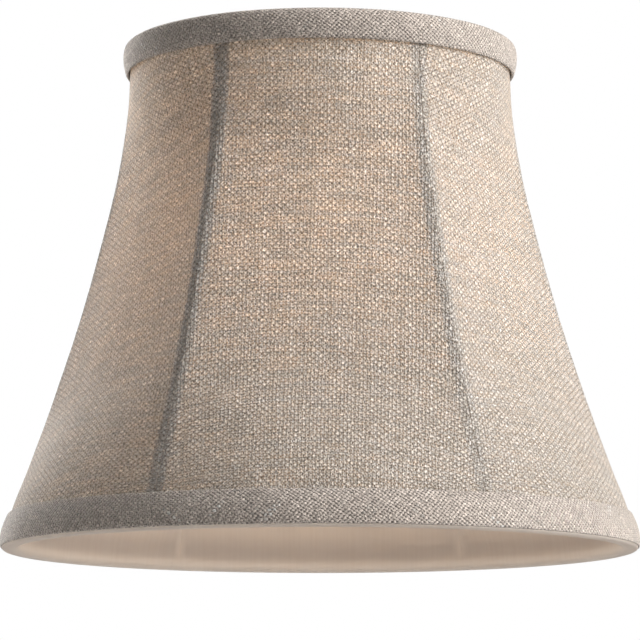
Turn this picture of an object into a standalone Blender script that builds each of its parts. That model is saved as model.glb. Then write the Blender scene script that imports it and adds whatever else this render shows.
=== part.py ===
"""Clip-on bell lamp shade: six linen gores over a wire frame, lined, with a sprung bulb clip.

Frame: metres, +Z up, the shade stands on its rim at z = 0 with its axis on the Z axis.
Ribs stand every 60 degrees from +X. The crossbar of the clip lies along X.
"""

import math

import bmesh
import bpy
from mathutils import Vector

# ---- driving dimensions (metres) ----
HEIGHT = 0.1228

# Outer face of the cover along a rib, as (height, radius), rim first.
RIB_LINE = (
    (0.0012, 0.07510),
    (0.0060, 0.07460),
    (0.0124, 0.07265),
    (0.0220, 0.06925),
    (0.0365, 0.06422),
    (0.0560, 0.05798),
    (0.0755, 0.05272),
    (0.0902, 0.04927),
    (0.1054, 0.04680),
    (0.1157, 0.04610),
    (0.1216, 0.04605),
)

GORES = 6
GORE_HALF = math.pi / GORES
FLATNESS = 0.70
ROUND_BELOW = 0.0085
FLAT_FROM = 0.0450
FLAT_TO = 0.0850
ROUND_ABOVE = 0.1158

SHARP_ANGLE = math.radians(40.0)
SEAM_GAP = 0.0003
COVER_THICK = 0.00045
LINING_THICK = 0.00035
SKIN_GAP = 0.0004
RING_WIRE = 0.0009
RIB_WIRE = 0.0008
LINING_OFFSET = COVER_THICK + SKIN_GAP + 2.0 * RING_WIRE + 0.0003
ROW_HEIGHTS = (0.00125, 0.0035, 0.0065, 0.0124, 0.0220, 0.0365, 0.0560, 0.0755, 0.0902, 0.1054, 0.1157, 0.1216)
GORE_COLUMNS = 12
LINING_COLUMNS = 6

TOP_RING_Z = 0.1207
BOTTOM_RING_Z = 0.0022
RING_STEPS = GORES * GORE_COLUMNS
RING_SIDES = 6
RIB_END_GAP = 0.00035

TRIM_GAP = 0.0003
TRIM_THICK = 0.00085
TRIM_LIP_ROUND = 0.0005
TRIM_CREASE = 0.0001
BOTTOM_TRIM_TOP = 0.0084
TOP_TRIM_BOTTOM = 0.1157
# Outer faces of the two bias bands: (stand-off from the cover, height).
BOTTOM_TRIM_BULGE = (
    (0.00050, 0.0086),
    (0.00090, 0.0078),
    (0.00130, 0.0050),
    (0.00140, 0.0024),
    (0.00085, 0.0006),
    (0.00000, 0.0000),
)
TOP_TRIM_BULGE = (
    (0.00090, 0.1155),
    (0.00145, 0.1164),
    (0.00175, 0.1188),
    (0.00165, 0.1210),
    (0.00110, 0.1224),
    (0.00020, 0.1228),
)

CROSSBAR_WIRE = 0.0010
CROSSBAR_DROP_Z = 0.1120
CROSSBAR_END_Z = 0.1204
CROSSBAR_END_X = 0.0431
CROSSBAR_FLAT_X = 0.0085
CROSSBAR_BEND_X = 0.0135
CROSSBAR_BEND_RISE = 0.0012
CROSSBAR_TAIL = 0.0040
NOTCH_HALF_WIDTH = 0.00135
NOTCH_LOW_Z = 0.1190
NOTCH_HIGH_Z = 0.1217
NOTCH_INNER_X = 0.0414
NOTCH_OUTER_X = 0.0436

STRAP_THICK = 0.0007
STRAP_BORE = CROSSBAR_WIRE + 0.0003
STRAP_LENGTH = 0.0110
STRAP_DROP = 0.0090
STRAP_SLIT = 0.0002
STRAP_STEPS = 14
RIVET_DROP = 0.0042
RIVET_SHANK = 0.0008
RIVET_HOLE = 0.0011
RIVET_HEAD = 0.0016
RIVET_CROWN = 0.6 * RIVET_HEAD
RIVET_HEAD_THICK = 0.0007
RIVET_EDGE = 0.3 * RIVET_HEAD_THICK
RIVET_STEPS = 20
FIT_GAP = 0.0003

LOOP_WIRE = 0.0008
LOOP_ROOT_X = 0.0040
LOOP_ROOT_DROP = 0.0066
LOOP_ROOT_Y = 0.5 * STRAP_SLIT + STRAP_THICK + FIT_GAP
LOOP_BEND_Y = 0.0027
# One leg of a loop, from its bend beside the strap to the foot of the loop.
LOOP_LEG = (
    (0.00400, 0.00420, 0.10540),
    (0.00560, 0.00600, 0.10430),
    (0.00800, 0.00730, 0.10040),
    (0.01050, 0.00820, 0.09500),
    (0.01290, 0.00900, 0.08800),
    (0.01430, 0.00950, 0.08000),
    (0.01450, 0.00950, 0.07200),
    (0.01380, 0.00880, 0.06500),
    (0.01310, 0.00660, 0.06040),
    (0.01280, 0.00340, 0.05850),
)
LOOP_FOOT = (0.01270, 0.00000, 0.05800)


# ---- scene helpers ----
def clear_scene():
    """Remove whatever the start-up file left behind."""
    for item in list(bpy.data.objects):
        bpy.data.objects.remove(item, do_unlink=True)
    for group in list(bpy.data.collections):
        bpy.data.collections.remove(group)


def new_collection(name):
    """Make a collection under the scene."""
    group = bpy.data.collections.new(name)
    bpy.context.scene.collection.children.link(group)
    return group


def new_material(name, colour, roughness, metallic):
    """Make one Principled material."""
    material = bpy.data.materials.new(name)
    material.use_nodes = True
    shader = material.node_tree.nodes["Principled BSDF"]
    shader.inputs["Base Color"].default_value = (*colour, 1.0)
    shader.inputs["Roughness"].default_value = roughness
    shader.inputs["Metallic"].default_value = metallic
    material.diffuse_color = (*colour, 1.0)
    return material


def place(group, name, data, material):
    """Put one object into its collection with its own material."""
    item = bpy.data.objects.new(name, data)
    group.objects.link(item)
    data.materials.append(material)
    return item


def solid_mesh(name, shape):
    """Turn a bmesh into a mesh whose faces all look outward."""
    bmesh.ops.recalc_face_normals(shape, faces=shape.faces)
    data = bpy.data.meshes.new(name)
    shape.to_mesh(data)
    shape.free()
    data.shade_smooth()
    data.set_sharp_from_angle(angle=SHARP_ANGLE)
    return data


# ---- the bell shape ----
def line_slope(index):
    """Slope of the rib line at one of its stations."""
    low = max(index - 1, 0)
    high = min(index + 1, len(RIB_LINE) - 1)
    rise = RIB_LINE[high][0] - RIB_LINE[low][0]
    return (RIB_LINE[high][1] - RIB_LINE[low][1]) / rise


def rib_radius(height):
    """Radius of the cover's outer face at a rib."""
    z = min(max(height, RIB_LINE[0][0]), RIB_LINE[-1][0])
    index = 0
    while index < len(RIB_LINE) - 2 and z > RIB_LINE[index + 1][0]:
        index += 1
    z0, r0 = RIB_LINE[index]
    z1, r1 = RIB_LINE[index + 1]
    span = z1 - z0
    t = (z - z0) / span
    m0 = line_slope(index) * span
    m1 = line_slope(index + 1) * span
    a = (2.0 * t ** 3 - 3.0 * t ** 2 + 1.0) * r0 + (t ** 3 - 2.0 * t ** 2 + t) * m0
    b = (3.0 * t ** 2 - 2.0 * t ** 3) * r1 + (t ** 3 - t ** 2) * m1
    return a + b


def smooth(value):
    """Smooth step from 0 to 1."""
    t = min(max(value, 0.0), 1.0)
    return t * t * (3.0 - 2.0 * t)


def flat_share(height):
    """How far a gore is pulled flat: 0 at the rings, FLATNESS between them."""
    rise = smooth((height - ROUND_BELOW) / (FLAT_FROM - ROUND_BELOW))
    fall = smooth((ROUND_ABOVE - height) / (ROUND_ABOVE - FLAT_TO))
    return FLATNESS * rise * fall


def gore_radius(angle, height, offset):
    """Radius of a gore at an angle from its own middle, set inward by offset."""
    share = flat_share(height)
    chord = math.cos(GORE_HALF) / math.cos(angle)
    return rib_radius(height) * (1.0 - share + share * chord) - offset


def gore_point(angle, height, offset, middle):
    """Point on a gore whose middle stands at the given angle."""
    radius = gore_radius(angle, height, offset)
    turn = middle + angle
    return Vector((radius * math.cos(turn), radius * math.sin(turn), height))


def loft_gore(name, middle, offset, thickness, columns):
    """Thin shell lofted from the round ring to the six-sided middle and back."""
    shape = bmesh.new()
    rows = len(ROW_HEIGHTS) - 1
    grid = []
    for layer in (offset, offset + thickness):
        sheet = []
        for height in ROW_HEIGHTS:
            radius = rib_radius(height) - layer
            half = GORE_HALF - 0.5 * SEAM_GAP / radius
            line = []
            for column in range(columns + 1):
                angle = half * (2.0 * column / columns - 1.0)
                line.append(shape.verts.new(gore_point(angle, height, layer, middle)))
            sheet.append(line)
        grid.append(sheet)
    for sheet in grid:
        for row in range(rows):
            for column in range(columns):
                corner = (sheet[row][column], sheet[row][column + 1])
                shape.faces.new((*corner, sheet[row + 1][column + 1], sheet[row + 1][column]))
    for row in range(rows):
        for column in (0, columns):
            near = (grid[0][row][column], grid[0][row + 1][column])
            shape.faces.new((*near, grid[1][row + 1][column], grid[1][row][column]))
    for column in range(columns):
        for row in (0, rows):
            near = (grid[0][row][column], grid[0][row][column + 1])
            shape.faces.new((*near, grid[1][row][column + 1], grid[1][row][column]))
    return solid_mesh(name, shape)


# ---- round pieces ----
def turned(group, name, outline, material):
    """Spin a closed outline of (radius, height) points round the Z axis."""
    data = bpy.data.meshes.new(name)
    count = len(outline)
    edges = [(index, (index + 1) % count) for index in range(count)]
    data.from_pydata([(radius, 0.0, height) for radius, height in outline], edges, [])
    item = place(group, name, data, material)
    spin = item.modifiers.new("spin", "SCREW")
    spin.axis = "Z"
    spin.angle = 2.0 * math.pi
    spin.steps = RING_STEPS
    spin.render_steps = RING_STEPS
    spin.use_merge_vertices = True
    spin.merge_threshold = 0.00001
    spin.use_smooth_shade = True
    spin.use_normal_calculate = True
    return item


def wire_ring(group, name, radius, height, wire, material):
    """Round wire ring lying level."""
    outline = []
    for index in range(RING_SIDES):
        angle = -2.0 * math.pi * (index + 0.5) / RING_SIDES
        outline.append((radius + wire * math.cos(angle), height + wire * math.sin(angle)))
    return turned(group, name, outline, material)


def bent_wire(group, name, points, wire, material):
    """Round wire along a line of points, capped at both ends."""
    data = bpy.data.curves.new(name, "CURVE")
    data.dimensions = "3D"
    data.bevel_depth = wire
    data.bevel_resolution = 2
    data.use_fill_caps = True
    line = data.splines.new("POLY")
    line.points.add(len(points) - 1)
    for index, point in enumerate(points):
        line.points[index].co = (*point, 1.0)
    return place(group, name, data, material)


def smooth_line(stations, steps):
    """Even curve through a list of stations."""
    points = [Vector(station) for station in stations]
    line = []
    last = len(points) - 1
    for index in range(last):
        before = points[max(index - 1, 0)]
        after = points[min(index + 2, last)]
        start = points[index]
        end = points[index + 1]
        lead = (end - before) * 0.5
        trail = (after - start) * 0.5
        for step in range(steps):
            t = step / steps
            a = start * (2.0 * t ** 3 - 3.0 * t ** 2 + 1.0) + lead * (t ** 3 - 2.0 * t ** 2 + t)
            b = end * (3.0 * t ** 2 - 2.0 * t ** 3) + trail * (t ** 3 - t ** 2)
            line.append(a + b)
    line.append(points[last])
    return line


def box_cutter(group, name, low, high):
    """Hidden box that cuts a notch."""
    shape = bmesh.new()
    bmesh.ops.create_cube(shape, size=1.0)
    for vert in shape.verts:
        for axis in range(3):
            vert.co[axis] = low[axis] if vert.co[axis] < 0.0 else high[axis]
    item = bpy.data.objects.new(name, solid_mesh(name, shape))
    hide_cutter(group, item)
    return item


def hide_cutter(group, item):
    """Keep a cutter out of the picture."""
    group.objects.link(item)
    item.hide_render = True
    item.display_type = "WIRE"


def cut(item, cutter):
    """Subtract a cutter from a piece."""
    step = item.modifiers.new("notch", "BOOLEAN")
    step.operation = "DIFFERENCE"
    step.solver = "EXACT"
    step.object = cutter


# ---- frame ----
def build_frame(group, material):
    """Two rings and the ribs between them."""
    top_radius = rib_radius(TOP_RING_Z) - COVER_THICK - SKIN_GAP - RING_WIRE
    bottom_radius = rib_radius(BOTTOM_RING_Z) - COVER_THICK - SKIN_GAP - RING_WIRE
    wire_ring(group, "top_ring", top_radius, TOP_RING_Z, RING_WIRE, material)
    wire_ring(group, "bottom_ring", bottom_radius, BOTTOM_RING_Z, RING_WIRE, material)
    low = BOTTOM_RING_Z + RING_WIRE + RIB_END_GAP
    high = TOP_RING_Z - RING_WIRE - RIB_END_GAP
    heights = [low] + [height for height in ROW_HEIGHTS if low < height < high] + [high]
    for number in range(GORES):
        turn = 2.0 * math.pi * number / GORES
        points = []
        for height in heights:
            radius = rib_radius(height) - COVER_THICK - SKIN_GAP - RIB_WIRE
            points.append((radius * math.cos(turn), radius * math.sin(turn), height))
        bent_wire(group, "rib_%d" % (number + 1), points, RIB_WIRE, material)


# ---- fabric ----
def build_cover(group, material):
    """Six linen gores, each between two ribs."""
    for number in range(GORES):
        name = "cover_panel_%d" % (number + 1)
        middle = 2.0 * math.pi * (number + 0.5) / GORES
        place(group, name, loft_gore(name, middle, 0.0, COVER_THICK, GORE_COLUMNS), material)


def build_lining(group, material, notches):
    """Six lining gores inside the ribs, notched where the crossbar passes."""
    for number in range(GORES):
        name = "lining_panel_%d" % (number + 1)
        middle = 2.0 * math.pi * (number + 0.5) / GORES
        data = loft_gore(name, middle, LINING_OFFSET, LINING_THICK, LINING_COLUMNS)
        item = place(group, name, data, material)
        if number in (0, GORES - 1):
            cut(item, notches[0])
        if number in (GORES // 2 - 1, GORES // 2):
            cut(item, notches[1])


def lining_face(height):
    """Radius of the lining's inner face near a ring, at the middle of one of its facets."""
    chord = math.cos(GORE_HALF / LINING_COLUMNS)
    return (rib_radius(height) - LINING_OFFSET - LINING_THICK) * chord


def bottom_trim_outline():
    """Section of the rim band: up the outside, and under the ring to the lining's inner face."""
    outline = []
    for height in (ROW_HEIGHTS[0], ROW_HEIGHTS[1], ROW_HEIGHTS[2], BOTTOM_TRIM_TOP):
        outline.append((rib_radius(height) + TRIM_GAP, height))
    for proud, height in BOTTOM_TRIM_BULGE:
        outline.append((rib_radius(height) + proud, height))
    lip = lining_face(ROW_HEIGHTS[0])
    outline.append((lip + TRIM_LIP_ROUND, 0.0))
    outline.append((lip, TRIM_LIP_ROUND))
    outline.append((lip, TRIM_THICK))
    outline.append((rib_radius(0.0) - TRIM_CREASE, TRIM_THICK))
    outline.reverse()
    return outline


def top_trim_outline():
    """Section of the top band: up the outside, and over the ring to the lining's inner face."""
    outline = []
    top = ROW_HEIGHTS[-1]
    for height in (top, TOP_TRIM_BOTTOM):
        outline.append((rib_radius(height) + TRIM_GAP, height))
    for proud, height in TOP_TRIM_BULGE:
        outline.append((rib_radius(height) + proud, height))
    lip = lining_face(top)
    outline.append((lip + TRIM_LIP_ROUND, HEIGHT))
    outline.append((lip, HEIGHT - TRIM_LIP_ROUND))
    outline.append((lip, HEIGHT - TRIM_THICK))
    outline.append((rib_radius(top) - TRIM_CREASE, HEIGHT - TRIM_THICK))
    return outline


def build_trims(group, material):
    """Folded bias bands over the two rings."""
    turned(group, "top_trim", top_trim_outline(), material)
    turned(group, "bottom_trim", bottom_trim_outline(), material)


# ---- clip fitter ----
def build_crossbar(group, material):
    """Dropped wire bar from side to side of the top ring."""
    bend = CROSSBAR_DROP_Z + CROSSBAR_BEND_RISE
    slope_x = 0.5 * (CROSSBAR_BEND_X + CROSSBAR_END_X)
    slope_z = 0.5 * (bend + CROSSBAR_END_Z) + CROSSBAR_BEND_RISE
    half = (
        (CROSSBAR_FLAT_X, 0.0, CROSSBAR_DROP_Z),
        (0.5 * (CROSSBAR_FLAT_X + CROSSBAR_BEND_X), 0.0, CROSSBAR_DROP_Z + 0.25 * CROSSBAR_BEND_RISE),
        (CROSSBAR_BEND_X, 0.0, bend),
        (slope_x, 0.0, slope_z),
        (CROSSBAR_END_X - CROSSBAR_TAIL, 0.0, CROSSBAR_END_Z),
        (CROSSBAR_END_X, 0.0, CROSSBAR_END_Z),
    )
    right = smooth_line(half, 3)
    left = [Vector((-point.x, point.y, point.z)) for point in reversed(right)]
    bent_wire(group, "crossbar", left + right, CROSSBAR_WIRE, material)


def strap_line():
    """Middle line of the folded strap as (y, z) points about the crossbar."""
    radius = STRAP_BORE + 0.5 * STRAP_THICK
    leaf = 0.5 * (STRAP_SLIT + STRAP_THICK)
    start = math.asin(leaf / radius)
    line = [(leaf, -STRAP_DROP)]
    for index in range(STRAP_STEPS + 1):
        angle = -0.5 * math.pi + start + 2.0 * (math.pi - start) * index / STRAP_STEPS
        line.append((radius * math.cos(angle), radius * math.sin(angle)))
    line.append((-leaf, -STRAP_DROP))
    return line


def build_strap(group, cutters, pivot, material):
    """Steel strap folded round the crossbar, bored for its rivet."""
    shape = bmesh.new()
    verts = [shape.verts.new((-0.5 * STRAP_LENGTH, y, z)) for y, z in strap_line()]
    edges = [shape.edges.new(pair) for pair in zip(verts, verts[1:])]
    sweep = bmesh.ops.extrude_edge_only(shape, edges=edges)
    moved = [item for item in sweep["geom"] if isinstance(item, bmesh.types.BMVert)]
    bmesh.ops.translate(shape, verts=moved, vec=(STRAP_LENGTH, 0.0, 0.0))
    item = place(group, "clip_strap", solid_mesh("clip_strap", shape), material)
    item.parent = pivot
    sheet = item.modifiers.new("sheet", "SOLIDIFY")
    sheet.thickness = STRAP_THICK
    sheet.offset = 0.0
    sheet.use_even_offset = True
    bore = bmesh.new()
    bmesh.ops.create_cone(bore, cap_ends=True, segments=RIVET_STEPS, radius1=RIVET_HOLE,
                          radius2=RIVET_HOLE, depth=4.0 * STRAP_BORE)
    cutter = bpy.data.objects.new("rivet_bore", solid_mesh("rivet_bore", bore))
    cutter.parent = pivot
    cutter.location = (0.0, 0.0, -RIVET_DROP)
    cutter.rotation_euler = (0.5 * math.pi, 0.0, 0.0)
    hide_cutter(cutters, cutter)
    cut(item, cutter)


def build_rivet(group, pivot, material):
    """Round-headed rivet through both leaves of the strap."""
    leaf = 0.5 * STRAP_SLIT + STRAP_THICK
    inner = leaf + FIT_GAP
    outline = (
        (0.0, -inner - RIVET_HEAD_THICK),
        (RIVET_CROWN, -inner - RIVET_HEAD_THICK),
        (RIVET_HEAD, -inner - RIVET_EDGE),
        (RIVET_HEAD, -inner),
        (RIVET_SHANK, -inner),
        (RIVET_SHANK, inner),
        (RIVET_HEAD, inner),
        (RIVET_HEAD, inner + RIVET_EDGE),
        (RIVET_CROWN, inner + RIVET_HEAD_THICK),
        (0.0, inner + RIVET_HEAD_THICK),
    )
    data = bpy.data.meshes.new("clip_rivet")
    edges = [(index, index + 1) for index in range(len(outline) - 1)]
    data.from_pydata([(radius, along, 0.0) for radius, along in outline], edges, [])
    item = place(group, "clip_rivet", data, material)
    item.parent = pivot
    item.location = (0.0, 0.0, -RIVET_DROP)
    spin = item.modifiers.new("spin", "SCREW")
    spin.axis = "Y"
    spin.angle = 2.0 * math.pi
    spin.steps = RIVET_STEPS
    spin.render_steps = RIVET_STEPS
    spin.use_merge_vertices = True
    spin.merge_threshold = 0.00001
    spin.use_smooth_shade = True
    spin.use_normal_calculate = True


def build_loop(group, name, side, pivot, material):
    """Sprung wire loop; side is +1 for the loop on +X and -1 for the other."""
    root_z = CROSSBAR_DROP_Z - LOOP_ROOT_DROP
    stations = [(LOOP_ROOT_X, LOOP_ROOT_Y, root_z), (LOOP_ROOT_X, LOOP_BEND_Y, root_z)]
    stations.extend(LOOP_LEG)
    stations.append(LOOP_FOOT)
    leg = smooth_line(stations, 2)
    other = [Vector((point.x, -point.y, point.z)) for point in reversed(leg[:-1])]
    points = [Vector((side * point.x, point.y, point.z)) for point in leg + other]
    root = Vector((side * LOOP_ROOT_X, 0.0, root_z))
    item = bent_wire(group, name, [point - root for point in points], LOOP_WIRE, material)
    item.parent = pivot
    item.location = (root.x, 0.0, -LOOP_ROOT_DROP)


def main():
    """Build the shade."""
    clear_scene()
    group = new_collection("clip_on_bell_lamp_shade")
    cutters = new_collection("cutters")
    linen = new_material("natural_linen", (0.52, 0.44, 0.36), 0.95, 0.0)
    trim = new_material("linen_trim", (0.46, 0.40, 0.34), 0.95, 0.0)
    lining = new_material("pale_lining", (0.86, 0.80, 0.75), 0.85, 0.0)
    frame = new_material("painted_frame_wire", (0.80, 0.79, 0.76), 0.45, 0.0)
    plated = new_material("plated_clip_steel", (0.62, 0.60, 0.57), 0.30, 1.0)
    spring = new_material("spring_wire", (0.66, 0.65, 0.62), 0.28, 1.0)
    notches = []
    for number, side in enumerate((1.0, -1.0)):
        near = min(side * NOTCH_INNER_X, side * NOTCH_OUTER_X)
        far = max(side * NOTCH_INNER_X, side * NOTCH_OUTER_X)
        low = (near, -NOTCH_HALF_WIDTH, NOTCH_LOW_Z)
        high = (far, NOTCH_HALF_WIDTH, NOTCH_HIGH_Z)
        notches.append(box_cutter(cutters, "notch_%d" % (number + 1), low, high))
    build_frame(group, frame)
    build_cover(group, linen)
    build_lining(group, lining, notches)
    build_trims(group, trim)
    build_crossbar(group, frame)
    pivot = bpy.data.objects.new("clip_tilt_axis", None)
    group.objects.link(pivot)
    pivot.location = (0.0, 0.0, CROSSBAR_DROP_Z)
    build_strap(group, cutters, pivot, plated)
    build_rivet(group, pivot, plated)
    build_loop(group, "clip_loop_left", -1.0, pivot, spring)
    build_loop(group, "clip_loop_right", 1.0, pivot, spring)


main()
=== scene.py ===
"""Looks of the clip-on bell lamp shade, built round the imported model.

Metres, +Z up, the shade's axis on the Z axis and its rim at z = 0. The fabric is stretched tight on the wire
frame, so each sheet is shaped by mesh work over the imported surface, and nothing is simulated.
"""

import math

import bmesh
import bpy
import numpy as np
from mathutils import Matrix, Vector


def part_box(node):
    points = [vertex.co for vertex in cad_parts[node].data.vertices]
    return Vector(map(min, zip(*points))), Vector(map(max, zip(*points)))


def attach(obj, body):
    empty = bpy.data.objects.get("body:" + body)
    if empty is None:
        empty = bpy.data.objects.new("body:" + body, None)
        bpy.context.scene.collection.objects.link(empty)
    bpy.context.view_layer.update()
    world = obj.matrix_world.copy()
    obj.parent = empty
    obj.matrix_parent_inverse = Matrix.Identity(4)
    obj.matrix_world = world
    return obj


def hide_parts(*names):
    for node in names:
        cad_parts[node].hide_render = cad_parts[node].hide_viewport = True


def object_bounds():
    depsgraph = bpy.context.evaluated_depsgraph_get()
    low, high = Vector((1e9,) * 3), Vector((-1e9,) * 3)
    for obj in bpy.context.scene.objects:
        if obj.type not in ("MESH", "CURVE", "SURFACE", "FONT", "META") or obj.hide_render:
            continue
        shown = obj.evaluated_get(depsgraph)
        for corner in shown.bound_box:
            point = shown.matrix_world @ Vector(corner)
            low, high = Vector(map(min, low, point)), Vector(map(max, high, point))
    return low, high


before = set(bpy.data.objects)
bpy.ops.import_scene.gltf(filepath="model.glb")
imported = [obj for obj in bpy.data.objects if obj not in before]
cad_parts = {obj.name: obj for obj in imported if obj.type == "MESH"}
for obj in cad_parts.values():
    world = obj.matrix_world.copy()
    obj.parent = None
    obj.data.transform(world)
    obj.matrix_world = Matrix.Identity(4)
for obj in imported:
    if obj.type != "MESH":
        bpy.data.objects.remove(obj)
cad_low, cad_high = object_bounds()

MM = 0.001
GORES = 6
GORE_HALF = math.pi / GORES
HEIGHT = cad_high.z

# Cloth: distance between warp threads and how far they lean from each gore's middle line, then the same for
# the weft threads, which the cloth's stretch has pulled a little out of square.
WARP_PITCH = (0.86 * MM, 0.84 * MM, 0.86 * MM, 0.97 * MM, 0.84 * MM, 0.92 * MM)
WARP_LEAN = (-8.0, 2.0, 9.0, 15.0, -1.0, -16.0)
WEFT_PITCH = (0.78 * MM, 0.78 * MM, 0.78 * MM, 0.75 * MM, 0.78 * MM, 0.78 * MM)
WEFT_LEAN = (-6.0, 2.0, 7.0, 12.0, -1.0, -12.0)
LINING_PITCH = 0.34 * MM
# Threads per millimetre in a bias band, along it and down it, for its two sets of threads.
BIAS_FIRST = (0.95, 0.845)
BIAS_SECOND = (-0.81, 1.21)


# ---- numbers ----
def through(stations, values, wanted):
    """Smooth curve through stations along the first axis of values, read at the wanted places."""
    x = np.asarray(stations, float)
    y = np.asarray(values, float)
    low = np.maximum(np.arange(len(x)) - 1, 0)
    high = np.minimum(np.arange(len(x)) + 1, len(x) - 1)
    extra = (1,) * (y.ndim - 1)
    slope = (y[high] - y[low]) / (x[high] - x[low]).reshape(-1, *extra)
    at = np.clip(np.asarray(wanted, float), x[0], x[-1])
    index = np.clip(np.searchsorted(x, at, side="right") - 1, 0, len(x) - 2)
    span = (x[index + 1] - x[index]).reshape(-1, *extra)
    t = (at - x[index]).reshape(-1, *extra) / span
    start = (2 * t ** 3 - 3 * t ** 2 + 1) * y[index] + (t ** 3 - 2 * t ** 2 + t) * slope[index] * span
    end = (3 * t ** 2 - 2 * t ** 3) * y[index + 1] + (t ** 3 - t ** 2) * slope[index + 1] * span
    return start + end


def smooth_step(value, low, high):
    """0 below low, 1 above high, and a smooth rise between them."""
    t = np.clip((value - low) / (high - low), 0.0, 1.0)
    return t * t * (3 - 2 * t)


def ripple(x, y, seed, waves=7):
    """Gentle random relief between about -1 and 1 over a plane, the same each run."""
    draw = np.random.default_rng(seed)
    total = np.zeros(np.broadcast(x, y).shape)
    for _ in range(waves):
        angle = draw.uniform(0, math.tau)
        rate = draw.uniform(0.6, 1.8)
        phase = draw.uniform(0, math.tau)
        total += np.sin(rate * (x * math.cos(angle) + y * math.sin(angle)) + phase)
    return total / math.sqrt(waves)


# ---- meshes ----
def grid_piece(name, points, threads, material, closed=False, cut=None):
    """Sheet from a grid of points (rows, columns, 3), with its thread coordinates (rows, columns, 2).

    closed joins the last column to the first, and cut marks the cells that are left open."""
    rows, columns = points.shape[:2]
    corners = np.arange(rows * columns).reshape(rows, columns)
    if closed:
        corners[:, -1] = corners[:, 0]
    faces = np.stack(
        [corners[:-1, :-1], corners[:-1, 1:], corners[1:, 1:], corners[1:, :-1]], axis=-1
    ).reshape(-1, 4)
    uv = np.stack(
        [threads[:-1, :-1], threads[:-1, 1:], threads[1:, 1:], threads[1:, :-1]], axis=-2
    ).reshape(-1, 4, 2)
    if cut is not None:
        faces = faces[~cut.ravel()]
        uv = uv[~cut.ravel()]
    data = bpy.data.meshes.new(name)
    data.from_pydata(points.reshape(-1, 3).tolist(), [], faces.tolist())
    layer = data.uv_layers.new(name="threads")
    layer.data.foreach_set("uv", uv.astype(np.float32).ravel())
    data.shade_smooth()
    piece = bpy.data.objects.new(name, data)
    bpy.context.scene.collection.objects.link(piece)
    data.materials.append(material)
    return piece


def walk(points, axis):
    """Distance walked along one axis of a grid of points, from its first point."""
    step = np.linalg.norm(np.diff(points, axis=axis), axis=-1)
    start = np.zeros_like(np.take(step, [0], axis=axis))
    return np.concatenate([start, np.cumsum(step, axis=axis)], axis=axis)


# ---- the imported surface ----
def packed_rows(node, middle, columns, inner=False):
    """Heights of a packed gore's rows, and its outer or inner radius at even shares of its width."""
    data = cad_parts[node].data
    spots = np.empty(len(data.vertices) * 3, np.float32)
    data.vertices.foreach_get("co", spots)
    spots = spots.reshape(-1, 3).astype(float)
    radius = np.hypot(spots[:, 0], spots[:, 1])
    turn = np.arctan2(spots[:, 1], spots[:, 0]) - middle
    turn = (turn + math.pi) % math.tau - math.pi
    column = np.rint((turn / GORE_HALF + 1) * columns / 2).astype(int)
    heights = np.unique(np.round(spots[:, 2], 5))
    table = []
    for height in heights:
        row = np.abs(spots[:, 2] - height) < 0.02 * MM
        pick = np.min if inner else np.max
        table.append([pick(radius[row & (column == c)]) for c in range(columns + 1)])
    return heights, np.array(table)


def gore_radius(rows, heights, angles):
    """Radius of a gore's face at heights (rows) and at angles from its middle (rows, columns)."""
    stations, table = rows
    at_heights = through(stations, table, heights)
    shares = np.linspace(-GORE_HALF, GORE_HALF, table.shape[1])
    return np.stack([through(shares, line, angle) for line, angle in zip(at_heights, angles)])


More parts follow.
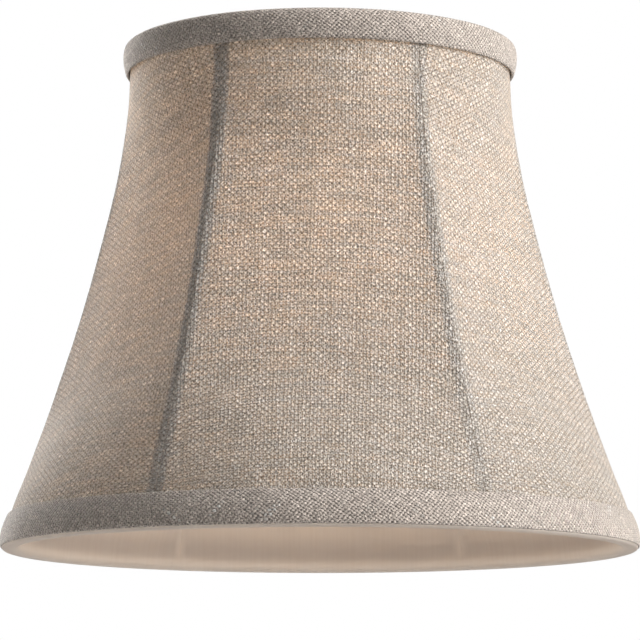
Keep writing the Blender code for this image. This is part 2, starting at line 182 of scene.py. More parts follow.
# ---- node graphs ----
class Graph:
    """Wires up the nodes of one material with short calls."""

    def __init__(self, name):
        self.material = bpy.data.materials.new(name)
        self.material.use_nodes = True
        self.tree = self.material.node_tree
        self.tree.nodes.clear()

    def feed(self, value, socket):
        """Give a socket a number, a colour or another node's output."""
        if isinstance(value, bpy.types.NodeSocket):
            self.tree.links.new(value, socket)
        elif value is not None:
            socket.default_value = value

    def math(self, operation, a, b=None):
        node = self.tree.nodes.new("ShaderNodeMath")
        node.operation = operation
        for socket, value in zip(node.inputs, (a, b)):
            self.feed(value, socket)
        return node.outputs[0]

    def plus(self, a, b):
        return self.math("ADD", a, b)

    def minus(self, a, b):
        return self.math("SUBTRACT", a, b)

    def times(self, a, b):
        return self.math("MULTIPLY", a, b)

    def combine(self, x, y, z=0.0):
        node = self.tree.nodes.new("ShaderNodeCombineXYZ")
        for socket, value in zip(node.inputs, (x, y, z)):
            self.feed(value, socket)
        return node.outputs[0]

    def stretched(self, x, y, rate_x, rate_y, layer=0.0):
        """Place in a noise that changes at one rate along x and another along y; layer keeps noises apart."""
        return self.combine(self.times(x, rate_x), self.times(y, rate_y), layer)

    def noise(self, vector, scale=1.0, detail=1.0, roughness=0.5):
        """Smooth noise between 0 and 1, centred on a half."""
        node = self.tree.nodes.new("ShaderNodeTexNoise")
        self.feed(vector, node.inputs["Vector"])
        self.feed(scale, node.inputs["Scale"])
        self.feed(detail, node.inputs["Detail"])
        self.feed(roughness, node.inputs["Roughness"])
        return node.outputs["Fac"]

    def white(self, vector):
        """One random number between 0 and 1 for each place."""
        node = self.tree.nodes.new("ShaderNodeTexWhiteNoise")
        node.noise_dimensions = "3D"
        self.feed(vector, node.inputs["Vector"])
        return node.outputs["Value"]

    def span(self, value, from_low, from_high, to_low=0.0, to_high=1.0, shape="SMOOTHSTEP"):
        """Carry a value from one range to another, held at its ends."""
        node = self.tree.nodes.new("ShaderNodeMapRange")
        node.interpolation_type = shape
        node.clamp = True
        for socket, number in zip(node.inputs, (value, from_low, from_high, to_low, to_high)):
            self.feed(number, socket)
        return node.outputs[0]

    def mix(self, share, a, b, blend="MIX"):
        node = self.tree.nodes.new("ShaderNodeMix")
        node.data_type = "RGBA"
        node.blend_type = blend
        self.feed(share, node.inputs[0])
        self.feed(a, node.inputs[6])
        self.feed(b, node.inputs[7])
        return node.outputs[2]

    def place(self, uv_map=None):
        """Thread coordinates of a sheet, or metres in the row frame when no map is named."""
        if uv_map is None:
            node = self.tree.nodes.new("ShaderNodeTexCoord")
            return node.outputs["Object"]
        node = self.tree.nodes.new("ShaderNodeUVMap")
        node.uv_map = uv_map
        return node.outputs[0]

    def split(self, vector):
        node = self.tree.nodes.new("ShaderNodeSeparateXYZ")
        self.feed(vector, node.inputs[0])
        return node.outputs

    def bump(self, height, distance, strength=1.0):
        node = self.tree.nodes.new("ShaderNodeBump")
        self.feed(height, node.inputs["Height"])
        node.inputs["Distance"].default_value = distance
        node.inputs["Strength"].default_value = strength
        return node.outputs[0]

    def principled(self, **sockets):
        """Principled shader; socket names use _ for a space."""
        node = self.tree.nodes.new("ShaderNodeBsdfPrincipled")
        for name, value in sockets.items():
            self.feed(value, node.inputs[name.replace("_", " ")])
        return node.outputs[0]

    def finish(self, shader, through_colour=None, through_share=0.0):
        """Send the shader out, with a share of light passing through the sheet."""
        if through_share:
            thin = self.tree.nodes.new("ShaderNodeBsdfTranslucent")
            self.feed(through_colour, thin.inputs["Color"])
            both = self.tree.nodes.new("ShaderNodeMixShader")
            both.inputs[0].default_value = through_share
            self.feed(shader, both.inputs[1])
            self.feed(thin.outputs[0], both.inputs[2])
            shader = both.outputs[0]
        out = self.tree.nodes.new("ShaderNodeOutputMaterial")
        self.feed(shader, out.inputs["Surface"])
        return self.material


# Length of a slub in threads, and the share of thread lengths that hold a pale or a grey one.
SLUB_LENGTH = 9.0
PALE_SLUBS = 0.008
GREY_SLUBS = 0.016
STRAW = (0.45, 0.41, 0.34, 1.0)
PALE_FLAX = (0.76, 0.73, 0.69, 1.0)
GREY_FLAX = (0.28, 0.265, 0.24, 1.0)
DUSTY = (0.37, 0.34, 0.30, 1.0)
# Light that comes through an open hole, and the tints of light through dense and through thin stretches.
HOLE_LIGHT = (1.9, 1.52, 1.14, 1.0)
DENSE_LIGHT = (0.79, 0.775, 0.765, 1.0)
THIN_LIGHT = (1.42, 1.29, 1.15, 1.0)


def thread_set(g, along, across, key):
    """One set of threads: each thread's number, tone and hue, its thick and thin places, and its slubs.

    across counts the threads, along is the way they run, and key keeps the two sets apart."""
    number = g.math("FLOOR", across)
    slow = g.noise(g.stretched(number, along, 7.31, 0.16, key), 1.0, 2.0)
    stretch = g.times(along, 1.0 / SLUB_LENGTH)
    part = g.math("FLOOR", stretch)
    chance = g.white(g.combine(number, part, key))
    bulge = g.math("SINE", g.times(g.minus(stretch, part), math.pi))
    return {
        "number": number,
        "slow": slow,
        "own": g.white(g.combine(number, key, 3.0)),
        "hue": g.white(g.combine(number, key, 8.0)),
        "pale": g.times(g.math("GREATER_THAN", chance, 1.0 - PALE_SLUBS), bulge),
        "grey": g.times(g.math("LESS_THAN", chance, GREY_SLUBS), bulge),
    }


def thread_colour(g, threads, fibre, light, dark):
    """Colour of one set of threads: by thread, along the thread and by fibre, with pale and grey slubs."""
    slow = g.span(threads["slow"], 0.30, 0.70, 0.0, 0.60)
    tone = g.plus(g.times(threads["own"], 0.40), slow)
    colour = g.mix(tone, dark, light)
    colour = g.mix(g.times(threads["hue"], 0.30), colour, STRAW)
    colour = g.mix(g.span(fibre, 0.30, 0.70, 0.0, 0.75), colour, dark)
    colour = g.mix(g.times(threads["pale"], 0.8), colour, PALE_FLAX)
    return g.mix(g.times(threads["grey"], 0.6), colour, GREY_FLAX)


def linen(name, warp, weft, crevice_shade, pit_shade, ridge, through_tint, through_share):
    """Plain-woven natural linen in thread coordinates.

    warp and weft each hold a light and a dark colour. The third argument is the colour of painted shade
    between threads and in open holes, the fourth is how dark the painted shade is in the pits where a weft
    thread dives under the warp, and ridge is how much the warp stands proud."""
    g = Graph(name)
    place = g.place("threads")
    raw = g.split(place)
    # Threads drift over many crossings and jitter over one or two.
    wander = g.noise(place, 0.16, 1.0)
    drift = g.noise(g.combine(raw[1], raw[0], 5.0), 0.13, 1.0)
    jitter = g.noise(place, 0.9, 1.0)
    jolt = g.noise(g.combine(raw[1], raw[0], 2.0), 0.9, 1.0)
    u = g.plus(raw[0], g.times(g.minus(wander, 0.5), 0.8))
    v = g.plus(raw[1], g.times(g.minus(drift, 0.5), 0.8))
    u = g.plus(u, g.times(g.minus(jitter, 0.5), 0.5))
    v = g.plus(v, g.times(g.minus(jolt, 0.5), 0.5))

    # Which thread is on top is the sign of rise; holes stand open at the corners between threads.
    warps = thread_set(g, v, u, 1.7)
    wefts = thread_set(g, u, v, 9.2)
    sine_u = g.math("SINE", g.times(u, math.pi))
    sine_v = g.math("SINE", g.times(v, math.pi))
    cross_u = g.math("COSINE", g.times(u, math.pi))
    cross_v = g.math("COSINE", g.times(v, math.pi))
    rise = g.times(sine_u, sine_v)
    crossing = g.white(g.combine(warps["number"], wefts["number"], 6.0))
    corner = g.math("ABSOLUTE", g.times(cross_u, cross_v))
    spread = g.span(g.noise(place, 0.45, 2.0), 0.3, 0.7, 0.15, 0.75)
    hole = g.span(corner, spread, 1.0)
    pit = g.span(g.times(rise, g.times(sine_u, sine_u)), -0.15, -0.80)
    pit = g.times(pit, g.span(crossing, 0.0, 1.0, 0.45, 1.0, "LINEAR"))

    # Colour: threads, then painted shade in the pits and holes, then grain that runs over both sets.
    fibre_across = g.noise(g.stretched(u, v, 3.0, 0.9), 1.0, 2.0, 0.7)
    fibre_along = g.noise(g.stretched(u, v, 0.9, 3.0, 4.0), 1.0, 2.0, 0.7)
    weft_colour = thread_colour(g, wefts, fibre_along, *weft)
    warp_colour = thread_colour(g, warps, fibre_across, *warp)
    cloth = g.mix(g.span(rise, -0.15, 0.15), weft_colour, warp_colour)
    # Painted shade: the pits and the open holes are darkened towards the shade colour; the same masks also
    # shape the relief below.
    pit = g.times(pit, pit_shade)
    cloth = g.mix(pit, cloth, crevice_shade)
    cloth = g.mix(g.times(hole, 0.8), cloth, crevice_shade)
    specks = g.noise(g.stretched(u, v, 1.1, 1.1, 7.0), 1.0, 2.0, 0.8)
    lint = g.noise(g.stretched(u, v, 1.8, 1.8, 1.0), 1.0, 1.0)
    cloud = g.noise(g.stretched(u, v, 0.06, 0.17, 3.0), 1.0, 3.0, 0.6)
    grain = g.span(specks, 0.34, 0.66, 0.70, 1.16, "LINEAR")
    grain = g.times(grain, g.span(crossing, 0.0, 1.0, 0.82, 1.12, "LINEAR"))
    grain = g.times(grain, g.span(lint, 0.34, 0.66, 0.55, 1.34, "LINEAR"))
    grain = g.times(grain, g.span(cloud, 0.30, 0.70, 0.96, 1.04, "LINEAR"))
    cloth = g.mix(1.0, cloth, g.combine(grain, grain, grain), "MULTIPLY")
    patch = g.noise(place, 0.035, 3.0, 0.6)
    cloth = g.mix(g.span(patch, 0.35, 0.75, 0.0, 0.10), cloth, DUSTY)

    # Relief, and the light that passes through.
    swell = g.math("SQRT", g.math("ABSOLUTE", rise))
    swell = g.plus(swell, g.times(g.math("ABSOLUTE", sine_u), ridge))
    height = g.minus(swell, g.plus(g.times(pit, 1.2), hole))
    height = g.plus(height, g.times(g.plus(specks, lint), 0.8))
    normal = g.bump(height, 0.18 * MM, 0.9)
    shader = g.principled(
        Base_Color=cloth, Roughness=0.88, Sheen_Weight=0.45, Sheen_Roughness=0.5,
        Sheen_Tint=(1.0, 0.94, 0.87, 1.0), Specular_IOR_Level=0.22, Normal=normal,
    )
    thin = g.mix(1.0, cloth, through_tint, "MULTIPLY")
    thin = g.mix(g.times(hole, 0.5), thin, HOLE_LIGHT)
    sparse = g.noise(g.stretched(u, v, 0.07, 0.60, 12.0), 1.0, 2.0, 0.6)
    streaks = g.mix(g.span(sparse, 0.36, 0.66), DENSE_LIGHT, THIN_LIGHT)
    thin = g.mix(1.0, thin, streaks, "MULTIPLY")
    return g.finish(shader, thin, through_share)


def lining_cloth(name):
    """Fine pale lining: close threads with faint drawn lines down it."""
    g = Graph(name)
    place = g.place("threads")
    raw = g.split(place)
    lines = g.noise(g.stretched(raw[0], raw[1], 0.5, 0.015), 1.0, 2.0)
    waves_u = g.math("SINE", g.times(raw[0], math.tau))
    waves_v = g.math("SINE", g.times(raw[1], math.tau))
    weave = g.times(waves_u, waves_v)
    tone = g.plus(g.span(lines, 0.25, 0.75, 0.0, 0.7), g.times(weave, 0.15))
    colour = g.mix(tone, (0.57, 0.51, 0.475, 1.0), (0.65, 0.60, 0.565, 1.0))
    height = g.plus(g.times(weave, 0.5), g.times(lines, 2.0))
    normal = g.bump(height, 0.05 * MM, 0.5)
    shader = g.principled(
        Base_Color=colour, Roughness=0.72, Specular_IOR_Level=0.3, Sheen_Weight=0.08, Normal=normal,
    )
    return g.finish(shader, (0.93, 0.86, 0.78, 1.0), 0.60)


def painted_wire(name):
    """Pale baked paint on steel wire, a little chipped and dusty."""
    g = Graph(name)
    place = g.place()
    patch = g.noise(place, 900.0, 3.0, 0.6)
    chips = g.span(g.noise(place, 2600.0, 2.0), 0.68, 0.74)
    colour = g.mix(patch, (0.70, 0.69, 0.65, 1.0), (0.82, 0.81, 0.78, 1.0))
    colour = g.mix(chips, colour, (0.25, 0.22, 0.20, 1.0))
    rough = g.span(patch, 0.2, 0.8, 0.34, 0.52)
    normal = g.bump(g.minus(patch, chips), 0.03 * MM, 0.5)
    return g.finish(g.principled(Base_Color=colour, Roughness=rough, Normal=normal))


def bright_steel(name, colour, dull, streak):
    """Plated or drawn steel with fine marks along it."""
    g = Graph(name)
    place = g.place()
    x, y, z = g.split(place)
    drawn = g.combine(g.times(x, streak[0]), g.times(y, streak[1]), g.times(z, streak[2]))
    marks = g.noise(drawn, 1.0, 3.0, 0.6)
    bloom = g.noise(place, 420.0, 3.0, 0.6)
    tone = g.mix(g.span(bloom, 0.3, 0.75), colour, dull)
    rough = g.plus(g.span(marks, 0.2, 0.8, 0.20, 0.36), g.span(bloom, 0.4, 0.8, 0.0, 0.12))
    normal = g.bump(marks, 0.01 * MM, 0.4)
    return g.finish(g.principled(Base_Color=tone, Metallic=1.0, Roughness=rough, Normal=normal))


# ---- cover gores ----
# Section across a gore's edge in millimetres, as (distance in from the seam, depth below the face). The cloth
# folds under at the seam and its allowance lies back under its own gore: the seam is pressed open over a rib.
EDGE = (
    (4.00, 0.00), (3.40, 0.00), (2.80, 0.00), (2.30, -0.02), (1.80, -0.04), (1.20, -0.05), (0.70, -0.04),
    (0.40, -0.02), (0.22, 0.01), (0.10, 0.05), (0.04, 0.11), (0.03, 0.18), (0.07, 0.24), (0.18, 0.28),
    (0.45, 0.30), (0.90, 0.31), (1.40, 0.31), (2.00, 0.31),
)
GORE_ROWS = 190
GORE_COLUMNS = 72
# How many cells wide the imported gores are.
PACKED_COVER_CELLS = 12
PACKED_LINING_CELLS = 6
# Unevenness of the stretched face, of the puckered seam and of an allowance's frayed edge.
FACE_RELIEF = 0.14 * MM
SEAM_PUCKER = 0.02 * MM
FRAY = 0.16 * MM
# Thread numbers from one gore to the next, so that no two gores have the same slubs.
THREAD_SHIFT = (211.0, 97.0)


def gore_lines(heights, rows, number):
    """Angle from the gore's middle and depth, for each row and column of a cover gore."""
    edge = gore_radius(rows, heights, np.full((len(heights), 1), GORE_HALF))
    section = np.array(EDGE) * MM
    raw = smooth_step(np.arange(len(section)), len(section) - 4, len(section) - 1)
    share = np.linspace(-1, 1, GORE_COLUMNS)[1:-1]
    sides = []
    for side in (-1, 1):
        frayed = ripple(heights[:, None] / (5 * MM), side, 300 + number) * FRAY * raw
        sides.append(side * (GORE_HALF - (section[:, 0] + frayed) / edge))
    middle = share * (GORE_HALF - section[0, 0] / edge)
    angles = np.concatenate([sides[0][:, ::-1], middle, sides[1]], axis=1)
    depth = np.concatenate([section[::-1, 1], np.zeros(len(share)), section[:, 1]])
    return angles, np.broadcast_to(depth, angles.shape)


def cover_gore(number, rows, material):
    """One linen gore with its seam allowances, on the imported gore's outer face."""
    middle = math.tau * (number + 0.5) / GORES
    node = "cover_panel_%d" % (number + 1)
    heights = np.linspace(rows[0][0], rows[0][-1], GORE_ROWS)[::-1]
    angles, depth = gore_lines(heights, rows, number)
    radius = gore_radius(rows, heights, np.clip(angles, -GORE_HALF, GORE_HALF))
    tall = heights[:, None] * np.ones_like(angles)
    arc = angles * radius
    inner = smooth_step(GORE_HALF - np.abs(angles), 0.02, 0.12)
    relief = ripple(arc / (9 * MM), tall / (14 * MM), 40 + number) * FACE_RELIEF * inner
    pucker = ripple(arc / (2 * MM), tall / (1.3 * MM), 90 + number) * SEAM_PUCKER * (1 - inner)
    radius = radius - depth + relief + pucker
    turn = middle + angles
    points = np.stack([radius * np.cos(turn), radius * np.sin(turn), tall], axis=-1)

    # Thread coordinates: each row is laid out flat as an arc, as the gore would lie before it was sewn.
    across = walk(points, 1)
    centre = np.argmin(np.abs(angles[0]))
    across = across - across[:, centre:centre + 1]
    down = walk(points, 0)[:, centre:centre + 1] * np.ones_like(across)
    slope = np.gradient(radius[:, centre], down[:, 0])[:, None]
    curl = slope / radius[:, centre:centre + 1]
    bend = across * curl
    safe = np.where(np.abs(curl) < 1e-4, 1e-4, curl)
    flat_u = np.sin(bend) / safe
    flat_v = down - (1 - np.cos(bend)) / safe
    warp_lean = math.radians(WARP_LEAN[number])
    weft_lean = math.radians(WEFT_LEAN[number])
    u = (flat_u * math.cos(warp_lean) - flat_v * math.sin(warp_lean)) / WARP_PITCH[number]
    v = (flat_u * math.sin(weft_lean) + flat_v * math.cos(weft_lean)) / WEFT_PITCH[number]
    threads = np.stack([u + THREAD_SHIFT[0] * number, v + THREAD_SHIFT[1] * number], axis=-1)
    piece = grid_piece("linen_gore_%d" % (number + 1), points, threads, material)
    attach(piece, "shade")
    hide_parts(node)


# ---- lining gores ----
# How the lining turns out under the rim's ring and over the top one, in millimetres: (distance out from the
# cover's face, distance in from the end of the shade). It shows as a smooth roll below the rim band.
RIM_ROLL = (
    (-3.22, 0.95), (-3.05, 0.55), (-2.70, 0.25), (-2.10, 0.08), (-1.20, 0.02), (-0.40, 0.02), (0.10, 0.05),
    (0.50, 0.16), (0.76, 0.36), (0.84, 0.62), (0.76, 0.90), (0.60, 1.10),
)
TOP_TUCK = ((-3.20, 0.85), (-3.05, 0.62), (-2.75, 0.45), (-2.30, 0.38), (-1.80, 0.36), (-1.30, 0.36))
LINING_ROWS = 130
LINING_COLUMNS = 81
LINING_SHIFT = 400.0
# Depth of the shallow groove along a lining seam, its half width, and the unevenness of the drawn cloth.
GROOVE_DEPTH = 0.25 * MM
GROOVE_HALF_WIDTH = 0.5 * MM
LINING_RELIEF = 0.06 * MM
# Distance from the cover's face in to the lining, and the slit that the crossbar passes through.
LINING_DEPTH = 3.30 * MM
SLIT_HALF_WIDTH = 1.35 * MM
SLIT_LOW = 0.1190
SLIT_HIGH = 0.1217


def lining_gore(number, rows, material):
    """One lining gore inside the ribs, drawn tight and turned round both rings."""
    middle = math.tau * (number + 0.5) / GORES
    node = "lining_panel_%d" % (number + 1)
    heights = np.linspace(rows[0][0], rows[0][-1], LINING_ROWS)[::-1]
    share = np.linspace(-1, 1, LINING_COLUMNS)
    angles = np.ones((len(heights), 1)) * share * GORE_HALF
    radius = gore_radius(rows, heights, angles)
    arc = angles * radius
    edge = (1 - np.abs(share)) * radius * GORE_HALF
    groove = GROOVE_DEPTH * np.exp(-(edge / GROOVE_HALF_WIDTH) ** 2)
    tall = heights[:, None] * np.ones_like(angles)
    drawn = ripple(arc / (1.6 * MM), tall / (40 * MM), 140 + number) * LINING_RELIEF
    ends = smooth_step(np.minimum(tall - heights[-1], heights[0] - tall), 0, 4 * MM)
    radius = radius + (groove + drawn * smooth_step(edge, 0, 3 * MM)) * ends

    # The same grid goes on round the top ring and under the rim's ring.
    tuck = np.array(TOP_TUCK)[::-1] * MM
    roll = np.array(RIM_ROLL) * MM
    top_face = radius[0] + LINING_DEPTH
    rim_face = radius[-1] + LINING_DEPTH
    radius = np.concatenate([top_face + tuck[:, 0:1], radius, rim_face + roll[:, 0:1]])
    ones = np.ones(len(share))
    tall = np.concatenate([(HEIGHT - tuck[:, 1:2]) * ones, tall, roll[:, 1:2] * ones])
    turn = middle + share * GORE_HALF
    points = np.stack([radius * np.cos(turn), radius * np.sin(turn), tall], axis=-1)

    across = walk(points, 1)
    half = LINING_COLUMNS // 2
    across = across - across[:, half:half + 1]
    down = walk(points, 0)
    threads = np.stack([across / LINING_PITCH + LINING_SHIFT * number, down / LINING_PITCH], axis=-1)
    centre = 0.25 * (points[:-1, :-1] + points[:-1, 1:] + points[1:, 1:] + points[1:, :-1])
    slit = np.abs(centre[..., 1]) < SLIT_HALF_WIDTH
    slit &= (centre[..., 2] > SLIT_LOW) & (centre[..., 2] < SLIT_HIGH)
    piece = grid_piece("lining_gore_%d" % (number + 1), points[:, ::-1], threads[:, ::-1], material,
                       cut=slit[:, ::-1])
    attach(piece, "shade")
    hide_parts(node)


# ---- trims ----
TRIM_STEPS = 480
TRIM_ROWS = 64
TRIM_RELIEF = 0.06 * MM
# The top band's outline is measured from the cover's face at about the middle of the band.
TOP_FACE_HEIGHT = 0.1193


def band(name, node, section, material, seed):
    """Bias band turned round the axis from its section, a list of (radius, height)."""
    line = np.array(section)
    step = np.concatenate([[0], np.cumsum(np.linalg.norm(np.diff(line, axis=0), axis=1))])
    even = np.linspace(0, step[-1], TRIM_ROWS)
    line = through(step, line, even)
    # The band's ends meet at the back, where its relief dies away.
    turn = np.linspace(0, math.tau, TRIM_STEPS + 1) + 0.5 * math.pi
    mean = float(line[:, 0].mean())
    around = (turn - 1.5 * math.pi) * mean
    relief = ripple(around[None, :] / (6 * MM), even[:, None] / (4 * MM), seed) * TRIM_RELIEF
    relief[:, -1] = relief[:, 0]
    fade = smooth_step(math.pi - np.abs(turn - 1.5 * math.pi), 0, 0.15)
    radius = line[:, 0:1] + relief * fade
    points = np.stack([
        radius * np.cos(turn), radius * np.sin(turn), line[:, 1:2] * np.ones_like(radius)
    ], axis=-1)
    along = around[None, :] * np.ones_like(radius) / MM
    down = -even[:, None] * np.ones_like(radius) / MM
    u = BIAS_FIRST[0] * along + BIAS_FIRST[1] * down
    v = BIAS_SECOND[0] * along + BIAS_SECOND[1] * down
    piece = grid_piece(name, points, np.stack([u + seed, v], axis=-1), material, closed=True)
    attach(piece, "shade")
    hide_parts(node)


def rib_radius(rows, height):
    """Radius of the cover's face over a rib."""
    return float(through(rows[0], rows[1][:, 0], [height])[0])


def bottom_band(rows, material):
    """Rim band: folded edge at its top, rounded face, edge turned in over the lining's roll.

    Its outline is a list of (height, millimetres out from the cover's face)."""
    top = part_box("bottom_trim")[1].z
    outline = (
        (0.0050, 0.30), (0.0070, 0.30), (top - 0.00030, 0.32), (top, 0.50), (top - 0.00030, 0.74),
        (0.0070, 0.98), (0.0055, 1.22), (0.0040, 1.42), (0.0024, 1.45), (0.0012, 1.30), (0.0007, 1.12),
        (0.00065, 0.98), (0.0012, 0.92),
    )
    section = [(rib_radius(rows, height) + proud * MM, height) for height, proud in outline]
    band("bottom_bias_band", "bottom_trim", section[::-1], material, 210)


def top_band(rows, material):
    """Top band: folded edge at its foot, rounded face, edge rolled over the ring.

    Its outline is a list of (height, millimetres out from the cover's face)."""
    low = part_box("top_trim")[0].z
    face = rib_radius(rows, TOP_FACE_HEIGHT)
    outline = (
        (0.1188, 0.30), (0.1168, 0.32), (low + 0.00030, 0.38), (low, 0.75), (low + 0.00035, 1.12),
        (0.1171, 1.48), (0.1188, 1.75), (0.1208, 1.70), (0.1221, 1.30), (HEIGHT - 0.00015, 0.60),
        (HEIGHT - 0.00005, -0.20), (HEIGHT - 0.00010, -1.60), (HEIGHT - 0.00030, -2.35),
        (HEIGHT - 0.00070, -2.70),
    )
    section = [(face + proud * MM, height) for height, proud in outline]
    band("top_bias_band", "top_trim", section, material, 230)


# ---- clip fitter ----
CROSSBAR_WIRE = 1.0 * MM
LOOP_WIRE = 0.8 * MM
WIRE_SIDES = 20
WIRE_STEPS = 12
CAP_STEPS = 6
CAP_BULGE = 0.4
# Any direction that isn't along a wire, to start its cross-section from.
WIRE_START = (0.31, 0.22, 0.92)
# Half of the crossbar and one leg of a spring loop, from the middle outward, and where each stands.
CROSSBAR_HALF = (
    (0.0000, 0.0, 0.11200), (0.0085, 0.0, 0.11200), (0.0110, 0.0, 0.11230), (0.0135, 0.0, 0.11320),
    (0.0283, 0.0, 0.11800), (0.0391, 0.0, 0.12040), (0.0431, 0.0, 0.12040),
)
LOOP_LEG = (
    (0.00400, 0.00110, 0.10540), (0.00400, 0.00270, 0.10540), (0.00400, 0.00420, 0.10540),
    (0.00560, 0.00600, 0.10430), (0.00800, 0.00730, 0.10040), (0.01050, 0.00820, 0.09500),
    (0.01290, 0.00900, 0.08800), (0.01430, 0.00950, 0.08000), (0.01450, 0.00950, 0.07200),
    (0.01380, 0.00880, 0.06500), (0.01310, 0.00660, 0.06040), (0.01280, 0.00340, 0.05850),
    (0.01270, 0.00000, 0.05800),
)
# Weld bead at each end of the crossbar: its half sizes, how far out it sits and how high.
BEAD_SIZE = Vector((0.95, 1.55, 1.05)) * MM
BEAD_OUT = 43.3 * MM
BEAD_HEIGHT = 120.45 * MM
STRAP_EASE = 0.12 * MM
RIVET_EASE = 0.10 * MM


def wire(name, stations, radius, material):
    """Round wire along a smooth line, with rounded ends; returns its grid piece."""
    line = np.array(stations, float)
    steps = np.arange(len(line))
    line = through(steps, line, np.linspace(0, len(line) - 1, WIRE_STEPS * len(line)))
    ahead = np.gradient(line, axis=0)
    ahead /= np.linalg.norm(ahead, axis=1)[:, None]
    side = [np.cross(ahead[0], WIRE_START)]
    for forward in ahead[1:]:
        side.append(side[-1] - forward * (side[-1] @ forward))
        side[-1] = side[-1] / np.linalg.norm(side[-1])
    side = np.array(side) / np.linalg.norm(side, axis=1)[:, None]
    up = np.cross(ahead, side)
    cap = np.linspace(0, 0.5 * math.pi, CAP_STEPS)
    bulge = ahead * radius * CAP_BULGE
    start = [(line[0] - bulge[0] * math.cos(a), side[0], up[0], math.sin(a)) for a in cap]
    end = [(line[-1] + bulge[-1] * math.cos(a), side[-1], up[-1], math.sin(a)) for a in cap[::-1]]
    middle = [(line[i], side[i], up[i], 1.0) for i in range(1, len(line) - 1)]
    turn = np.linspace(0, math.tau, WIRE_SIDES + 1)
    points = np.array([
        [c + radius * share * (s * math.cos(a) + t * math.sin(a)) for a in turn]
        for c, s, t, share in start + middle + end
    ])
    threads = np.stack([walk(points, 0), np.broadcast_to(turn, points.shape[:2])], axis=-1)
    return grid_piece(name, points, threads, material, closed=True)


def crossbar(material):
    """Dropped bar with the small weld beads that hold its ends to the top ring."""
    half = [np.array(point) for point in CROSSBAR_HALF]
    flip = np.array((-1.0, 1.0, 1.0))
    bar = wire("crossbar_wire", [point * flip for point in half[:0:-1]] + half, CROSSBAR_WIRE, material)
    shape = bmesh.new()
    shape.from_mesh(bar.data)
    for side in (-1, 1):
        bead = bmesh.ops.create_uvsphere(shape, u_segments=20, v_segments=12, radius=1.0)
        spots = np.array([vert.co[:] for vert in bead["verts"]])
        lump = 1 + 0.10 * ripple(spots[:, 0] * 2.2, spots[:, 1] * 2.2 + spots[:, 2], 500 + side)
        for vert, grow in zip(bead["verts"], lump):
            vert.co = vert.co * BEAD_SIZE * grow
            vert.co += Vector((side * BEAD_OUT, 0.0, BEAD_HEIGHT))
    for face in shape.faces:
        face.smooth = True
    shape.to_mesh(bar.data)
    shape.free()
    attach(bar, "shade")
    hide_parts("crossbar")


def spring_loop(name, node, body, side, material):
    """One sprung wire loop of the clip; side is +1 on +X."""
    leg = [np.array(point) * (side, 1, 1) for point in LOOP_LEG]
    other = [point * (1, -1, 1) for point in leg[-2::-1]]
    loop = wire(name, leg + other, LOOP_WIRE, material)
    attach(loop, body)
    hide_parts(node)


def eased(name, node, width, material):
    """Copy of a packed steel piece with its edges eased, as pressed and tumbled steel has."""
    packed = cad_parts[node]
    data = packed.data.copy()
    data.transform(packed.matrix_world)
    data.materials.clear()
    data.materials.append(material)
    piece = bpy.data.objects.new(name, data)
    bpy.context.scene.collection.objects.link(piece)
    weld = piece.modifiers.new("weld", "WELD")
    weld.merge_threshold = 0.004 * MM
    ease = piece.modifiers.new("ease", "BEVEL")
    ease.width = width
    ease.segments = 3
    ease.limit_method = "ANGLE"
    ease.angle_limit = math.radians(40)
    ready = piece.evaluated_get(bpy.context.evaluated_depsgraph_get())
    final = bpy.data.meshes.new_from_object(ready)
    piece.modifiers.clear()
    piece.data = final
    final.shade_smooth()
    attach(piece, "clip")
    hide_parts(node)


# ---- camera, lights and stage ----
def aim(item, place, target):
    """Put a lamp at a place and turn it to a target."""
    item.location = place
    item.rotation_mode = "QUATERNION"
    item.rotation_quaternion = (Vector(target) - Vector(place)).to_track_quat("-Z", "Y")
    bpy.context.scene.collection.objects.link(item)


# Where the camera stands, how many degrees it looks up, and its focal length on a 36 mm frame.
CAMERA_PLACE = (0.0, -0.9139, -0.0676)
CAMERA_UP = 7.70
LENS = 215.0


def make_camera():
    """Long lens from just below the rim, looking slightly up."""
    data = bpy.data.cameras.new("camera")
    data.lens = LENS
    data.sensor_width = 36.0
    camera = bpy.data.objects.new("camera", data)
    camera.location = CAMERA_PLACE
    camera.rotation_euler = (math.radians(90 + CAMERA_UP), 0.0, 0.0)
    bpy.context.scene.collection.objects.link(camera)
    bpy.context.scene.camera = camera


# Softboxes: azimuth in degrees (0 in front, 90 on the right), height, distance from the axis, size, watts.
SOFTBOXES = {
    "key_right": (73, 0.45, 1.3, (0.8, 0.9), 33.0),
    "key_high": (60, 1.10, 0.8, (0.9, 0.9), 14.0),
    "back_left": (-148, 0.45, 1.3, (0.7, 0.9), 38.0),
    "fill_left": (-45, 0.45, 1.3, (0.7, 0.9), 3.5),
    "fill_front": (28, 0.45, 1.3, (0.7, 0.9), 1.3),
}
GLOW_HEIGHT = 0.063
GLOW_WATTS = 0.16
GLOW_RADIUS = 0.012
GLOW_COLOUR = (1.0, 0.84, 0.70)
WORLD_LIGHT = 0.02


def softbox(name, azimuth, height, distance, size, power):
    """Rectangular soft light aimed at the middle of the shade."""
    data = bpy.data.lights.new(name, "AREA")
    data.shape = "RECTANGLE"
    data.size, data.size_y = size
    data.energy = power
    turn = math.radians(azimuth)
    place = (distance * math.sin(turn), -distance * math.cos(turn), height)
    aim(bpy.data.objects.new(name, data), place, (0.0, 0.0, 0.5 * HEIGHT))


def make_lights():
    """Two soft keys on the right, a soft light at the back left, two weak fills in front, and a dim warm lamp
    inside."""
    for name, settings in SOFTBOXES.items():
        softbox(name, *settings)
    data = bpy.data.lights.new("glow", "POINT")
    data.energy = GLOW_WATTS
    data.shadow_soft_size = GLOW_RADIUS
    data.color = GLOW_COLOUR
    lamp = bpy.data.objects.new("glow", data)
    lamp.location = (0.0, 0.0, GLOW_HEIGHT)
    bpy.context.scene.collection.objects.link(lamp)


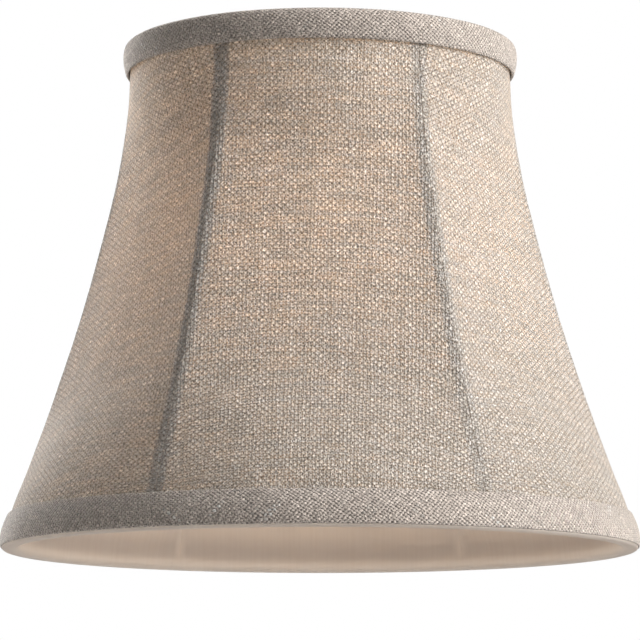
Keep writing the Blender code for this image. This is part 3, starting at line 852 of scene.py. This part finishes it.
def make_world():
    """White surround, dimmer as a light than it looks."""
    world = bpy.data.worlds.new("studio")
    bpy.context.scene.world = world
    world.use_nodes = True
    tree = world.node_tree
    tree.nodes.clear()
    path = tree.nodes.new("ShaderNodeLightPath")
    seen = tree.nodes.new("ShaderNodeBackground")
    seen.inputs["Color"].default_value = (1.0, 1.0, 1.0, 1.0)
    seen.inputs["Strength"].default_value = 1.0
    light = tree.nodes.new("ShaderNodeBackground")
    light.inputs["Color"].default_value = (1.0, 1.0, 1.0, 1.0)
    light.inputs["Strength"].default_value = WORLD_LIGHT
    mix = tree.nodes.new("ShaderNodeMixShader")
    out = tree.nodes.new("ShaderNodeOutputWorld")
    tree.links.new(path.outputs["Is Camera Ray"], mix.inputs[0])
    tree.links.new(light.outputs[0], mix.inputs[1])
    tree.links.new(seen.outputs[0], mix.inputs[2])
    tree.links.new(mix.outputs[0], out.inputs["Surface"])


# The floor: how far it lies below the rim, its radius, where its fade to white starts and ends, and the
# colour of the light that it throws back.
FLOOR_DROP = 0.30
FLOOR_RADIUS = 30.0
FADE = (0.25, 1.30)
BOUNCE = (0.50, 0.50, 0.50, 1.0)


def make_floor():
    """Plain pale floor well below the shade, so that the camera can look up past the rim.

    It throws back less light than it shows, like a floor that is far away."""
    g = Graph("pale_floor")
    place = g.place()
    speck = g.noise(place, 40.0, 3.0)
    path = g.tree.nodes.new("ShaderNodeLightPath")
    colour = g.mix(speck, (0.80, 0.80, 0.79, 1.0), (0.83, 0.83, 0.82, 1.0))
    colour = g.mix(path.outputs["Is Camera Ray"], BOUNCE, colour)
    paper = g.principled(Base_Color=colour, Roughness=0.8)
    x, y, _ = g.split(place)
    far = g.math("SQRT", g.plus(g.times(x, x), g.times(y, y)))
    bright = g.tree.nodes.new("ShaderNodeEmission")
    blend = g.tree.nodes.new("ShaderNodeMixShader")
    g.feed(g.times(g.span(far, *FADE), path.outputs["Is Camera Ray"]), blend.inputs[0])
    g.feed(paper, blend.inputs[1])
    g.feed(bright.outputs[0], blend.inputs[2])
    material = g.finish(blend.outputs[0])
    bpy.ops.mesh.primitive_circle_add(
        vertices=96, radius=FLOOR_RADIUS, fill_type="NGON", location=(0, 0, -FLOOR_DROP)
    )
    floor = bpy.context.object
    floor.name = "floor"
    floor.data.materials.append(material)


def main():
    """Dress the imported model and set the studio."""
    cover_rows = packed_rows("cover_panel_5", math.tau * 4.5 / GORES, PACKED_COVER_CELLS)
    lining_rows = packed_rows("lining_panel_2", math.tau * 1.5 / GORES, PACKED_LINING_CELLS, inner=True)
    cover = linen(
        "linen_cover",
        warp=((0.69, 0.664, 0.648, 1), (0.436, 0.390, 0.334, 1)),
        weft=((0.65, 0.627, 0.610, 1), (0.398, 0.352, 0.296, 1)),
        # Painted shade between threads and in holes, then how dark the painted shade in the pits is.
        crevice_shade=(0.092, 0.058, 0.033, 1),
        pit_shade=1.0,
        ridge=0.42,
        through_tint=(1.75, 1.58, 1.35, 1),
        through_share=0.18,
    )
    trim = linen(
        "linen_trim",
        warp=((0.73, 0.632, 0.560, 1), (0.40, 0.335, 0.29, 1)),
        weft=((0.71, 0.612, 0.545, 1), (0.38, 0.32, 0.277, 1)),
        # Painted shade between threads and in holes, then how dark the painted shade in the pits is.
        crevice_shade=(0.045, 0.034, 0.025, 1),
        pit_shade=0.15,
        ridge=0.40,
        through_tint=(0.8, 0.8, 0.8, 1),
        through_share=0.05,
    )
    lining = lining_cloth("lining_cotton")
    painted = painted_wire("painted_wire")
    plated = bright_steel("plated_steel", (0.66, 0.64, 0.61, 1), (0.50, 0.48, 0.45, 1), (300, 2600, 2600))
    spring = bright_steel("drawn_spring_wire", (0.70, 0.69, 0.67, 1), (0.52, 0.50, 0.48, 1), (900, 900, 200))
    for number in range(GORES):
        cover_gore(number, cover_rows, cover)
        lining_gore(number, lining_rows, lining)
    bottom_band(cover_rows, trim)
    top_band(cover_rows, trim)
    crossbar(painted)
    eased("strap_steel", "clip_strap", STRAP_EASE, plated)
    eased("rivet_steel", "clip_rivet", RIVET_EASE, plated)
    spring_loop("loop_wire_left", "clip_loop_left", "left_loop", -1, spring)
    spring_loop("loop_wire_right", "clip_loop_right", "right_loop", 1, spring)
    for node in ["top_ring", "bottom_ring"] + ["rib_%d" % (number + 1) for number in range(GORES)]:
        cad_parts[node].data.materials.clear()
        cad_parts[node].data.materials.append(painted)
    make_camera()
    make_lights()
    make_world()
    make_floor()
    bpy.context.scene.view_settings.view_transform = "Standard"


main()
